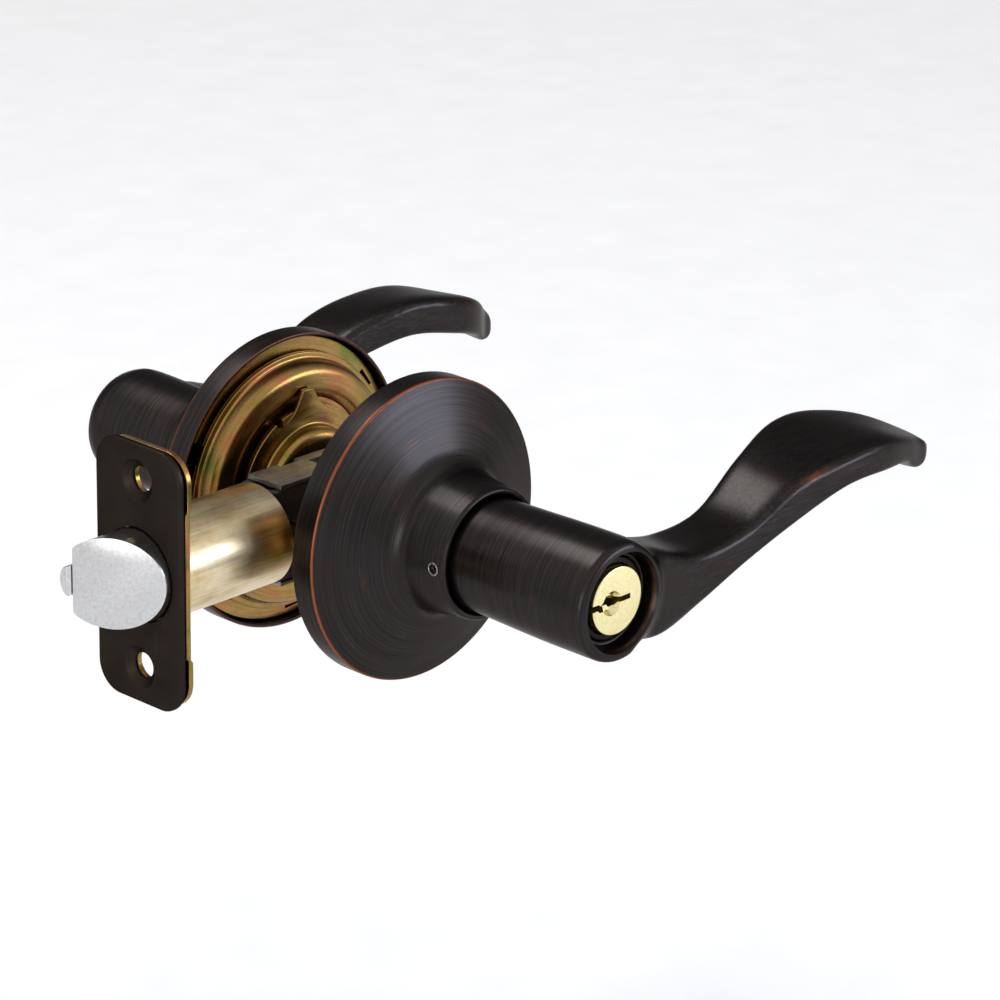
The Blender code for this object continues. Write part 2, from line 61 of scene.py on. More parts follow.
X, Y, Z = 0, 1, 2
PLATE_THICK = 1.2
DOOR = extent("interior_mounting_plate", Y, 1) - PLATE_THICK    # the door's face
ROSE_R = extent("exterior_rose", Z, 1)
NECK_OUT = extent("interior_rose", Y, 1)
PLATE_R = extent("interior_mounting_plate", Z, 1)
FACE_FRONT = extent("latch_faceplate", X, 0)
FACE_BACK = extent("latch_faceplate", X, 1)
FACE_HEIGHT = 2 * extent("latch_faceplate", Z, 1)
FACE_WIDTH = 2 * extent("latch_faceplate", Y, 1)
BACK_FRONT = extent("latch_backplate", X, 0)
TUBE_START = extent("latch_tube", X, 0)
TUBE_END = extent("latch_tube", X, 1)
TUBE_R = extent("latch_tube", Z, 1)
BOLT_TIP = extent("latchbolt", X, 0)
PLUNGER_TIP = extent("deadlatch_plunger", X, 0)
CASE_START = extent("latch_case", X, 0)
CASE_END = extent("latch_case", X, 1)
CASE_Z = extent("latch_case", Z, 1)
CASE_Y = extent("latch_case", Y, 1)
PLUG_FACE = -extent("key_plug", Y, 0)
RING_FACE = -extent("cylinder_housing", Y, 0)
BUTTON_TOP = extent("turn_button", Y, 1)
PLUNGER_REAR = -57.0

HEAD_OUT = 80.2
INSIDE_HEAD_OUT = 72.6
SHANK_IN = 34.0
SHANK_R = 12.4
HEAD_R = 13.0
NECK_BORE_R = 13.1
SLEEVE_R = 11.0
CYLINDER_R = 9.0
PLUG_R = 7.4
BUSH_END = 69.5
BOLT_R = 10.0
BOLT_REAR = -39.3
SCREW_X = 22.4
PINHOLE_OUT = 40.0
FACE_HOLES = 20.65
FACE_CORNER = 6.35
RUNNING_GAP = 0.3    # between a bore and the piece in it
HOLE_GAP = 0.4       # round the bolt in both plates
PIN_OUTS = [58.5 + 3.6 * i for i in range(5)]    # the five pin stacks' distances out

# Lever arm stations: x, then the front and back faces' distance out from the door's
# middle, then the heights of the four edges: top front, top back, low front, low back
ARM_STATIONS = (
    (3, 79.2, 61.0, 10.0, 9.0, -12.6, -9.5),
    (15, 78.0, 61.5, 6.4, 6.0, -13.6, -9.5),
    (30, 75.6, 60.0, 1.5, 2.2, -11.0, -6.5),
    (45, 75.2, 59.5, 2.6, 3.0, -5.7, -2.0),
    (60, 76.4, 57.4, 9.5, 10.8, -0.4, 2.5),
    (75, 77.2, 54.3, 11.5, 14.9, 3.8, 5.6),
    (90, 76.2, 53.6, 11.5, 13.5, 3.5, 3.6),
    (102, 72.6, 58.4, 7.6, 10.2, 1.5, 0.4),
    (109, 70.0, 63.4, 4.7, 6.3, -1.8, -2.2),
    (113.7, 68.6, 65.4, 3.0, 3.2, -1.4, -1.6),
)
# The inside arm starts from a shorter head, joins the same line by LEAN_END, and dips past DIP_START
LEAN_END = 50.0
DIP_START = 70.0
DIP_RATE = 0.0021
TIP_START = 110.6    # from here the arm's section closes to a rounded end


# ---------------------------------------------------------------- mesh tools

def about_y(side):
    return lambda u, v, out: (u, side * out, v)


def along_x(y=0.0, z=0.0):
    return lambda u, v, x: (x, y + u, z + v)


def along_y(x=0.0, z=0.0):
    return lambda u, v, y: (x + u, y, z + v)


def on_yz(a, b, x):
    return (x, a, b)


def on_xz(a, b, y):
    return (a, y, b)


def on_xy(a, b, z):
    return (a, b, z)


def eased(corners, steps=5):
    """Round a closed outline's corners: each is (a, b) or (a, b, how far back its curve starts)."""
    outline = []
    count = len(corners)
    for i, corner in enumerate(corners):
        here = Vector(corner[:2])
        reach = corner[2] if len(corner) > 2 else 0
        if not reach:
            outline.append(tuple(here))
            continue
        before = Vector(corners[i - 1][:2]) - here
        after = Vector(corners[(i + 1) % count][:2]) - here
        start = here + before.normalized() * min(reach, before.length * 0.49)
        end = here + after.normalized() * min(reach, after.length * 0.49)
        for k in range(steps + 1):
            t = k / steps
            outline.append(tuple(start * (1 - t) ** 2 + here * 2 * t * (1 - t) + end * t ** 2))
    return outline


def mesh_object(name, bm, smooth_angle=38):
    """Make an object of a finished bmesh: normals outward, smooth but for edges past the angle."""
    bmesh.ops.remove_doubles(bm, verts=bm.verts, dist=1e-7)
    bmesh.ops.recalc_face_normals(bm, faces=bm.faces)
    mesh = bpy.data.meshes.new(name)
    bm.to_mesh(mesh)
    bm.free()
    mesh.shade_smooth()
    mesh.set_sharp_from_angle(angle=math.radians(smooth_angle))
    made = bpy.data.objects.new(name, mesh)
    bpy.context.collection.objects.link(made)
    return made


def lathe(name, outline, place, steps=128):
    """Turn a closed outline of (radius, distance) points about the line that place gives."""
    bm = bmesh.new()
    turns = [2 * math.pi * (i + 0.5) / steps for i in range(steps)]
    rings = []
    for radius, along in outline:
        if radius < 1e-6:
            rings.append([bm.verts.new(Vector(place(0, 0, along)) * MM)] * steps)
        else:
            rings.append([bm.verts.new(Vector(place(radius * math.cos(a), radius * math.sin(a), along)) * MM)
                          for a in turns])
    for here, there in zip(rings, rings[1:] + rings[:1]):
        for i in range(steps):
            j = (i + 1) % steps
            kept = list(dict.fromkeys((here[i], here[j], there[j], there[i])))
            if len(kept) > 2:
                bm.faces.new(kept)
    return mesh_object(name, bm)


def prism(name, outline, place, low, high, edge=0.0, segments=3):
    """Extrude a closed flat outline, with its two rims rounded by a bevel of the given width."""
    bm = bmesh.new()
    bottom = [bm.verts.new(Vector(place(a, b, low)) * MM) for a, b in outline]
    top = [bm.verts.new(Vector(place(a, b, high)) * MM) for a, b in outline]
    ends = [bm.faces.new(bottom), bm.faces.new(top)]
    count = len(outline)
    for i in range(count):
        j = (i + 1) % count
        bm.faces.new((bottom[i], bottom[j], top[j], top[i]))
    bmesh.ops.recalc_face_normals(bm, faces=bm.faces)
    if edge:
        rims = list({e for f in ends for e in f.edges})
        bmesh.ops.bevel(bm, geom=rims, offset=edge * MM, segments=segments, affect='EDGES', profile=0.5)
    return mesh_object(name, bm)


def box(name, low, high, edge=0.0):
    outline = [(low[0], low[1]), (high[0], low[1]), (high[0], high[1]), (low[0], high[1])]
    return prism(name, outline, on_xy, low[2], high[2], edge)


def applied(thing):
    """Turn an object's modifiers into plain mesh."""
    graph = bpy.context.evaluated_depsgraph_get()
    mesh = bpy.data.meshes.new_from_object(thing.evaluated_get(graph))
    thing.modifiers.clear()
    old = thing.data
    thing.data = mesh
    bpy.data.meshes.remove(old)
    return thing


def combined(target, tools, operation='DIFFERENCE', smooth_angle=38):
    """Cut tools out of a target, or join them to it, and remove the tools."""
    for tool in tools:
        cutting = target.modifiers.new("cut", 'BOOLEAN')
        cutting.operation = operation
        cutting.solver = 'EXACT'
        cutting.object = tool
    applied(target)
    for tool in tools:
        bpy.data.objects.remove(tool, do_unlink=True)
    target.data.shade_smooth()
    target.data.set_sharp_from_angle(angle=math.radians(smooth_angle))
    return target


def rod(radius, low, high, edge=0.0):
    return eased([(0, low), (radius, low, edge), (radius, high, edge), (0, high)])


def tube(outer, inner, low, high, edge=0.0):
    return eased([(inner, low, edge), (outer, low, edge), (outer, high, edge), (inner, high, edge)])


def rounded_rectangle(width, height, corner, steps=12):
    outline = []
    for quarter, (sx, sy) in enumerate(((1, 1), (-1, 1), (-1, -1), (1, -1))):
        centre = (sx * (width / 2 - corner), sy * (height / 2 - corner))
        for i in range(steps + 1):
            angle = math.pi / 2 * (quarter + i / steps)
            outline.append((centre[0] + corner * math.cos(angle), centre[1] + corner * math.sin(angle)))
    return outline


def paint(thing, name, value_at):
    """Store one number per point, worked out from the point's place in millimetres."""
    mesh = thing.data
    places = np.empty(len(mesh.vertices) * 3)
    mesh.vertices.foreach_get("co", places)
    values = value_at(*(places.reshape(-1, 3).T / MM))
    layer = mesh.attributes.new(name, 'FLOAT', 'POINT')
    layer.data.foreach_set("value", np.broadcast_to(values, len(mesh.vertices)).astype(np.float32))


def finish_piece(thing, body, surface, stands_for=()):
    """Give a finished mesh its material and say what it rides on and replaces."""
    thing.data.materials.clear()
    thing.data.materials.append(surface)
    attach(thing, body)
    if stands_for:
        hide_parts(*stands_for)


# ---------------------------------------------------------------- materials

def linear(hexed):
    """An sRGB colour such as "#8a6b3f" as the linear colour that the shader takes."""
    parts = [int(hexed[i:i + 2], 16) / 255 for i in (1, 3, 5)]
    return tuple(p / 12.92 if p <= 0.04045 else ((p + 0.055) / 1.055) ** 2.4 for p in parts) + (1.0,)


def add(tree, kind, inputs=None, **settings):
    """Add a shader node: settings are its properties, inputs its values or the outputs linked to them."""
    made = tree.nodes.new("ShaderNode" + kind)
    for key, value in settings.items():
        setattr(made, key, value)
    for key, value in (inputs or {}).items():
        if isinstance(value, bpy.types.NodeSocket):
            tree.links.new(value, made.inputs[key])
        else:
            made.inputs[key].default_value = value
    return made


def start_material(name, metallic, **fixed):
    """A new material with its uniform values set; gives also its tree, shader and Object coordinates."""
    made = bpy.data.materials.new(name)
    made.use_nodes = True
    tree = made.node_tree
    shader = tree.nodes["Principled BSDF"]
    shader.inputs["Metallic"].default_value = metallic
    for key, value in fixed.items():
        shader.inputs[key.replace("_", " ").title()].default_value = value
    place = add(tree, "TexCoord").outputs["Object"]
    return made, tree, shader, place


def ramp(tree, factor, stops):
    """A colour ramp node; stops are (position, sRGB hex or grey number)."""
    made = add(tree, "ValToRGB", {"Fac": factor})
    band = made.color_ramp
    while len(band.elements) < len(stops):
        band.elements.new(0.5)
    for element, (position, colour) in zip(band.elements, stops):
        element.position = position
        element.color = linear(colour) if isinstance(colour, str) else (colour, colour, colour, 1)
    return made.outputs["Color"]


def scaled(tree, place, per_mm):
    """Object coordinates stretched so that one unit is one feature; per_mm is features per millimetre."""
    return add(tree, "Mapping", {"Vector": place, "Scale": [p / MM for p in per_mm]}).outputs["Vector"]


def noise(tree, vector, detail=2.0, roughness=0.5):
    return add(tree, "TexNoise", {"Vector": vector, "Scale": 1.0, "Detail": detail,
                                  "Roughness": roughness}).outputs["Fac"]


def maths(tree, operation, first, second=0.0, clamp=False):
    return add(tree, "Math", {0: first, 1: second}, operation=operation, use_clamp=clamp).outputs[0]


def turned_vector(tree, place, lines_per_mm, around):
    """Coordinates for lines that run round the spindle axis: fine across, slow round the turn."""
    flat = add(tree, "VectorMath", {0: place, 1: (1, 0, 1)}, operation='MULTIPLY').outputs[0]
    radius = add(tree, "VectorMath", {0: flat}, operation='LENGTH').outputs["Value"]
    unit = add(tree, "VectorMath", {0: flat}, operation='NORMALIZE').outputs[0]
    split = add(tree, "SeparateXYZ", {0: unit})
    y = add(tree, "SeparateXYZ", {0: place}).outputs["Y"]
    across = maths(tree, 'MULTIPLY', maths(tree, 'ADD', radius, y), lines_per_mm / MM)
    return add(tree, "CombineXYZ", {"X": maths(tree, 'MULTIPLY', split.outputs["X"], around), "Y": across,
                                    "Z": maths(tree, 'MULTIPLY', split.outputs["Z"], around)}).outputs[0]


def bumped(tree, shader, height, depth_mm, strength=1.0):
    bump = add(tree, "Bump", {"Height": height, "Strength": strength, "Distance": depth_mm * MM})
    tree.links.new(bump.outputs["Normal"], shader.inputs["Normal"])


def blend_colour(tree, factor, first, second):
    made = add(tree, "Mix", {0: factor}, data_type='RGBA')
    for index, value in ((6, first), (7, second)):
        if isinstance(value, bpy.types.NodeSocket):
            tree.links.new(value, made.inputs[index])
        else:
            made.inputs[index].default_value = linear(value)
    return made.outputs[2]


def blend_number(tree, factor, first, second):
    return add(tree, "Mix", {0: factor, 2: first, 3: second}).outputs[0]


def oil_rubbed_bronze():
    """Zinc casting, copper plated, blackened, brushed and lacquered: nearly black with a brown cast.

    Brush lines run round the turned parts and along the arm. The eye sees copper where the black
    has been rubbed off an edge, and in a few loose scratches. The lines of a real 120 grit belt are
    about 0.1 mm apart; they are drawn 0.3 mm apart so that they show.
    """
    made, tree, shader, place = start_material(
        "oil_rubbed_bronze", 0.94, coat_weight=0.16, coat_roughness=0.22, specular_tint=linear("#b4b0ae"))
    arm = add(tree, "Attribute", attribute_name="arm_share").outputs["Fac"]
    wear = add(tree, "Attribute", attribute_name="wear").outputs["Fac"]
    round_fine = noise(tree, turned_vector(tree, place, 3.0, 0.9), detail=2)
    round_broad = noise(tree, turned_vector(tree, place, 0.8, 0.5), detail=2)
    arm_fine = noise(tree, scaled(tree, place, (0.05, 2.4, 3.0)), detail=3)
    arm_broad = noise(tree, scaled(tree, place, (0.03, 0.5, 0.6)), detail=3)
    fine = blend_number(tree, arm, round_fine, arm_fine)
    broad = blend_number(tree, arm, round_broad, arm_broad)
    tone = maths(tree, 'ADD', maths(tree, 'MULTIPLY', fine, 0.84), maths(tree, 'MULTIPLY', broad, 0.16))
    black = ramp(tree, tone, ((0.32, "#1c1a19"), (0.50, "#262322"), (0.68, "#322e2c")))
    patch = noise(tree, scaled(tree, place, (0.09, 0.09, 0.09)), detail=2)
    browned = blend_colour(tree, ramp(tree, patch, ((0.45, 0.0), (0.75, 0.4))), black, "#2a1d16")
    round_scratch = noise(tree, turned_vector(tree, place, 3.6, 2.6), detail=1)
    arm_scratch = noise(tree, scaled(tree, place, (0.11, 3.6, 4.2)), detail=1)
    scratch = blend_number(tree, arm, round_scratch, arm_scratch)
    cluster = noise(tree, scaled(tree, place, (0.16, 0.16, 0.16)), detail=1)
    marks = maths(tree, 'MULTIPLY', ramp(tree, scratch, ((0.66, 0.0), (0.74, 1.0))),
                  ramp(tree, cluster, ((0.50, 0.0), (0.64, 0.7))))
    ragged = noise(tree, scaled(tree, place, (0.5, 0.5, 0.5)), detail=2)
    edge = maths(tree, 'ADD', wear, maths(tree, 'MULTIPLY', maths(tree, 'SUBTRACT', ragged, 0.5), 0.3))
    rubbed = ramp(tree, edge, ((0.30, 0.0), (0.80, 1.0)))
    copper = maths(tree, 'MAXIMUM', rubbed, maths(tree, 'MULTIPLY', marks, 0.42), clamp=True)
    tree.links.new(blend_colour(tree, copper, browned, "#8a4a2c"), shader.inputs["Base Color"])
    tree.links.new(blend_number(tree, fine, 0.27, 0.38), shader.inputs["Roughness"])
    bumped(tree, shader, fine, 0.008, 0.6)
    return made


def satin_face_bronze():
    """Stamped brass, blackened to a brown grey and left satin: soft, even, with faint upright brushing."""
    made, tree, shader, place = start_material("satin_face_bronze", 0.9, specular_tint=linear("#a8a29e"))
    lines = noise(tree, scaled(tree, place, (3.0, 3.0, 0.08)), detail=3)
    cloud = noise(tree, scaled(tree, place, (0.12, 0.12, 0.12)), detail=2)
    tone = maths(tree, 'ADD', maths(tree, 'MULTIPLY', lines, 0.3), maths(tree, 'MULTIPLY', cloud, 0.7))
    tree.links.new(ramp(tree, tone, ((0.3, "#221e1a"), (0.7, "#302a25"))), shader.inputs["Base Color"])
    tree.links.new(blend_number(tree, lines, 0.38, 0.5), shader.inputs["Roughness"])
    bumped(tree, shader, noise(tree, scaled(tree, place, (5, 5, 5)), detail=2), 0.01, 0.6)
    return made


def yellow_zinc():
    """Pressed steel, zinc plated and chromate dipped: gold that drifts to olive, orange and rose.

    The film's colour follows its thickness, so it drifts in soft clouds some 10 mm across, with
    drawing marks from the press running round the cup.
    """
    made, tree, shader, place = start_material("yellow_zinc", 1.0)
    cloud = noise(tree, scaled(tree, place, (0.075, 0.075, 0.075)), detail=3, roughness=0.6)
    film = ramp(tree, cloud, ((0.30, "#6b6c34"), (0.40, "#8e763e"), (0.52, "#a07c48"), (0.62, "#a86f45"),
                              (0.72, "#806a3a")))
    marks = noise(tree, turned_vector(tree, place, 2.0, 2.5), detail=3)
    dull = blend_colour(tree, ramp(tree, marks, ((0.35, 0.3), (0.6, 0.0))), film, "#4e4122")
    speck = noise(tree, scaled(tree, place, (2.5, 2.5, 2.5)), detail=2)
    tree.links.new(blend_colour(tree, ramp(tree, speck, ((0.60, 0.0), (0.75, 0.4))), dull, "#3c3219"),
                   shader.inputs["Base Color"])
    tree.links.new(blend_number(tree, cloud, 0.20, 0.34), shader.inputs["Roughness"])
    bumped(tree, shader, speck, 0.02, 0.5)
    return made


def pale_zinc():
    """Drawn steel tube, thinly chromated: champagne, with lengthwise draw lines and rubbed patches."""
    made, tree, shader, place = start_material("pale_zinc", 1.0)
    drawn = noise(tree, scaled(tree, place, (0.06, 2.2, 2.2)), detail=3)
    cloud = noise(tree, scaled(tree, place, (0.10, 0.14, 0.14)), detail=3, roughness=0.6)
    tone = maths(tree, 'ADD', maths(tree, 'MULTIPLY', drawn, 0.35), maths(tree, 'MULTIPLY', cloud, 0.65))
    film = ramp(tree, tone, ((0.32, "#b39a6c"), (0.48, "#d0bb92"), (0.60, "#dfd0ae"), (0.72, "#cdb08e")))
    tree.links.new(film, shader.inputs["Base Color"])
    tree.links.new(blend_number(tree, cloud, 0.24, 0.40), shader.inputs["Roughness"])
    bumped(tree, shader, drawn, 0.012, 0.5)
    return made


def satin_chrome():
    """Cast zinc bolt, chrome plated over a tumbled surface: pale grey with fine pits."""
    made, tree, shader, place = start_material("satin_chrome", 1.0)
    grain = noise(tree, scaled(tree, place, (1.6, 1.6, 1.6)), detail=4, roughness=0.6)
    tree.links.new(ramp(tree, grain, ((0.30, "#b9b9ba"), (0.60, "#cbcbcb"))), shader.inputs["Base Color"])
    tree.links.new(blend_number(tree, grain, 0.14, 0.28), shader.inputs["Roughness"])
    bumped(tree, shader, grain, 0.006, 0.3)
    return made


def polished_brass():
    """Free-cutting brass, faced and buffed: pale yellow with a few fine scratches."""
    made, tree, shader, place = start_material("polished_brass", 1.0)
    fine = noise(tree, scaled(tree, place, (2.2, 2.2, 2.2)), detail=3)
    tree.links.new(ramp(tree, fine, ((0.35, "#dbce92"), (0.65, "#e6dbaa"))), shader.inputs["Base Color"])
    tree.links.new(blend_number(tree, fine, 0.16, 0.30), shader.inputs["Roughness"])
    bumped(tree, shader, fine, 0.01, 0.5)
    return made


def plain_steel(name, light, dark, low, high):
    """Mill-finish steel: grey, with rolling lines and a slight mottle."""
    made, tree, shader, place = start_material(name, 1.0)
    rolled = noise(tree, scaled(tree, place, (0.3, 2.6, 2.6)), detail=3)
    tree.links.new(ramp(tree, rolled, ((0.35, dark), (0.65, light))), shader.inputs["Base Color"])
    tree.links.new(blend_number(tree, rolled, low, high), shader.inputs["Roughness"])
    bumped(tree, shader, rolled, 0.01, 0.5)
    return made


def black_plastic():
    """Moulded black acetal: deep grey black, dull, with the mould's fine spark texture."""
    made, tree, shader, place = start_material("black_plastic", 0.0)
    spark = noise(tree, scaled(tree, place, (4.0, 4.0, 4.0)), detail=2)
    tree.links.new(ramp(tree, spark, ((0.3, "#141415"), (0.7, "#1f1f21"))), shader.inputs["Base Color"])
    tree.links.new(blend_number(tree, spark, 0.42, 0.58), shader.inputs["Roughness"])
    bumped(tree, shader, spark, 0.02, 0.6)
    return made


def pale_floor():
    """Matt paper sweep for the stage."""
    made, tree, shader, place = start_material("paper_sweep", 0.0)
    fibre = noise(tree, scaled(tree, place, (0.05, 0.05, 0.05)), detail=2)
    tree.links.new(ramp(tree, fibre, ((0.3, "#f8f8f8"), (0.7, "#fcfcfc"))), shader.inputs["Base Color"])
    shader.inputs["Roughness"].default_value = 0.9
    return made


BRONZE = oil_rubbed_bronze()
FACE_BRONZE = satin_face_bronze()
YELLOW_ZINC = yellow_zinc()
PALE_ZINC = pale_zinc()
CHROME = satin_chrome()
BRASS = polished_brass()
GREY_STEEL = plain_steel("grey_steel", "#a9a9a6", "#7d7b77", 0.28, 0.42)
SPRING_STEEL = plain_steel("spring_steel", "#b8b8b8", "#8f8f8f", 0.25, 0.36)
BLACK = black_plastic()


# ---------------------------------------------------------------- the levers

def smooth_values(xs, ys, at):
    """A smooth curve through given points, by cubic pieces with averaged slopes."""
    slopes = np.gradient(np.array(ys, float), np.array(xs, float))
    i = min(max(int(np.searchsorted(xs, at)) - 1, 0), len(xs) - 2)
    span = xs[i + 1] - xs[i]
    t = (at - xs[i]) / span
    return ((2 * t ** 3 - 3 * t ** 2 + 1) * ys[i] + (t ** 3 - 2 * t ** 2 + t) * span * slopes[i]
            + (3 * t ** 2 - 2 * t ** 3) * ys[i + 1] + (t ** 3 - t ** 2) * span * slopes[i + 1])


def arm_values(x, side):
    """Front and back distances out, then the four edges' heights, at x along one side's arm."""
    xs = [station[0] for station in ARM_STATIONS]
    values = [smooth_values(xs, [station[k] for station in ARM_STATIONS], x) for k in range(1, 7)]
    if side > 0:
        share = min(x / LEAN_END, 1.0)
        values[0] -= (HEAD_OUT - INSIDE_HEAD_OUT) * (1 - share ** 2 * (3 - 2 * share))
        dip = DIP_RATE * max(0.0, x - DIP_START) ** 2
        values[2:] = [height - dip for height in values[2:]]
    return values


def arm_section(x, side, points=96, squareness=5.5):
    """The arm's section at x: four soft corners, its faces slightly crowned."""
    front, back, top_f, top_b, low_f, low_b = arm_values(x, side)
    past = max(0.0, x - TIP_START) / (ARM_STATIONS[-1][0] - TIP_START)
    close = 0.35 + 0.65 * math.sqrt(1 - past ** 2)
    ring = []
    for i in range(points):
        angle = 2 * math.pi * (i + 0.5) / points
        u = math.copysign(abs(math.cos(angle)) ** (2 / squareness), math.cos(angle)) * close / 2 + 0.5
        v = math.copysign(abs(math.sin(angle)) ** (2 / squareness), math.sin(angle)) * close / 2 + 0.5
        low = low_b + (low_f - low_b) * u
        high = top_b + (top_f - top_b) * u
        ring.append((x, side * (back + (front - back) * u), low + (high - low) * v))
    return ring


def arm_loft(name, side):
    """Skin the arm's sections, closer together towards the tip, where the section closes."""
    start, end = ARM_STATIONS[0][0], ARM_STATIONS[-1][0]
    count = 110
    bm = bmesh.new()
    rings = []
    for i in range(count + 1):
        x = start + (end - start) * (1 - (1 - i / count) ** 1.35)
        rings.append([bm.verts.new(Vector(p) * MM) for p in arm_section(x, side)])
    for here, there in zip(rings, rings[1:]):
        for i in range(len(here)):
            j = (i + 1) % len(here)
            bm.faces.new((here[i], here[j], there[j], there[i]))
    bm.faces.new(rings[0])
    bm.faces.new(rings[-1])
    return mesh_object(name, bm)


def relaxed(thing, weight_at, rounds, strength=0.5):
    """Move each point part of the way to its neighbours' middle, as much as weight_at says there."""
    mesh = thing.data
    count = len(mesh.vertices)
    places = np.empty(count * 3)
    mesh.vertices.foreach_get("co", places)
    places = places.reshape(-1, 3)
    edges = np.empty(len(mesh.edges) * 2, dtype=np.int64)
    mesh.edges.foreach_get("vertices", edges)
    a, b = edges.reshape(-1, 2).T
    degree = np.bincount(np.concatenate((a, b)), minlength=count).reshape(-1, 1)
    weight = (weight_at(*(places.T / MM)) * strength).reshape(-1, 1)
    for _ in range(rounds):
        total = np.empty_like(places)
        for k in range(3):
            total[:, k] = (np.bincount(a, places[b, k], count) + np.bincount(b, places[a, k], count))
        places += (total / degree - places) * weight
    mesh.vertices.foreach_set("co", places.ravel())
    mesh.update()


def junction(x, y, z):
    """Where the arm leaves the head and a casting has its fillet: 1 there, 0 elsewhere."""
    radius = np.hypot(x, z)
    near = np.exp(-((radius - HEAD_R - 1.0) / 3.2) ** 2)
    band = np.clip((x - 3) / 4, 0, 1) * np.clip((np.abs(y) - 50) / 6, 0, 1)
    return near * band


def edge_wear(side):
    """How rubbed the lever is: most where a hand slides off the arm's upper edges.

    Each edge has its distance out and height along x, then where it is rubbed most and how far.
    """
    xs = np.linspace(40, 110, 60)
    rows = np.array([arm_values(x, side) for x in xs])
    front_edge = (rows[:, 0], rows[:, 2], 65, 7)
    back_edge = (rows[:, 1], rows[:, 3], 92, 13)

    def wear(x, y, z):
        worn = np.zeros_like(x)
        for outs, heights, middle, reach in (front_edge, back_edge):
            gap = np.hypot(np.abs(y) - np.interp(x, xs, outs), z - np.interp(x, xs, heights))
            most = 0.1 + 0.62 * np.exp(-((x - middle) / reach) ** 2)
            worn = np.maximum(worn, np.where(x > 35, most, 0) * np.exp(-(gap / 1.7) ** 2))
        return worn
    return wear


def ring_wear(radius_at, out_at, width, most):
    """How rubbed a turned edge is, by the distance from its circle about the spindle axis."""
    def wear(x, y, z):
        gap = np.hypot(np.hypot(x, z) - radius_at, np.abs(y) - out_at)
        return most * np.exp(-(gap / width) ** 2)
    return wear


def pinhole(side, radius, low, high):
    """Cutter for the catch's hole, from the latch side, at the catch's distance out."""
    return lathe("pinhole", rod(radius, low, high), along_x(y=side * PINHOLE_OUT), steps=32)


def lever(word, side, head_out, head_edge, bores, worn_ring):
    """Shank, head and arm as one casting, filleted where they meet, with the bores cut last."""
    shank = [(0, SHANK_IN), (SHANK_R, SHANK_IN, 0.5), (SHANK_R, 45, 4), (HEAD_R, 64, 6)]
    outline = eased(shank + head_edge + [(0, head_out)])
    made = lathe(word + "_lever_casting", outline, about_y(side), steps=160)
    combined(made, [arm_loft("arm", side)], 'UNION')
    voxels = made.modifiers.new("voxels", 'REMESH')
    voxels.mode = 'VOXEL'
    voxels.voxel_size = 0.42 * MM
    applied(made)
    relaxed(made, lambda x, y, z: np.ones_like(x), 4)
    relaxed(made, junction, 120)
    cutters = [lathe("bore", bore, about_y(side), steps=128) for bore in bores]
    cutters.append(pinhole(side, 1.6, -16, -9))
    if side < 0:
        cutters.append(box("pocket", (4, -75.6, -3.2), (11.6, -52, 3.2)))
    combined(made, cutters, smooth_angle=50)
    arm_wear = edge_wear(side)
    head_wear = ring_wear(*worn_ring)
    paint(made, "wear", lambda x, y, z: np.maximum(arm_wear(x, y, z), head_wear(x, y, z)))
    paint(made, "arm_share", lambda x, y, z: np.clip((np.hypot(x, z) - 14) / 8, 0, 1))
    finish_piece(made, word + "_lever", BRONZE, [word + "_lever"])


def lever_bore(depth):
    """Bore from the shank's open end: round the hub's sleeve, then narrower as far as depth."""
    start = SHANK_IN - 1
    shoulder = 52.6
    sleeve = SLEEVE_R + RUNNING_GAP
    seat = CYLINDER_R + RUNNING_GAP
    return [(0, start), (sleeve, start), (sleeve, shoulder), (seat, shoulder), (seat, depth), (0, depth)]


def both_levers():
    outside_edge = [(HEAD_R, HEAD_OUT, 1.9)]
    key_recess = eased([(0, 76.2), (10.0, 76.2, 0.4), (10.3, 79.0, 0.9), (11.4, 81.0, 0.2), (12.0, 82),
                        (0, 82)])
    outside_bores = [lever_bore(76.6), key_recess]
    lever("exterior", -1, HEAD_OUT, outside_edge, outside_bores, (10.5, HEAD_OUT - 0.9, 0.7, 0.4))
    end = INSIDE_HEAD_OUT
    inside_edge = [(HEAD_R, end - 5.5, 1), (HEAD_R - 1.6, end - 1.2, 3), (HEAD_R - 5.0, end, 1)]
    button_recess = eased([(0, BUSH_END), (7.1, BUSH_END), (7.1, end - 0.1, 0.3), (7.5, end + 1),
                           (0, end + 1)])
    inside_bores = [lever_bore(BUSH_END + RUNNING_GAP), button_recess]
    lever("interior", 1, end, inside_edge, inside_bores, (7.2, end, 0.4, 0.5))


# ---------------------------------------------------------------- roses, plates and hubs

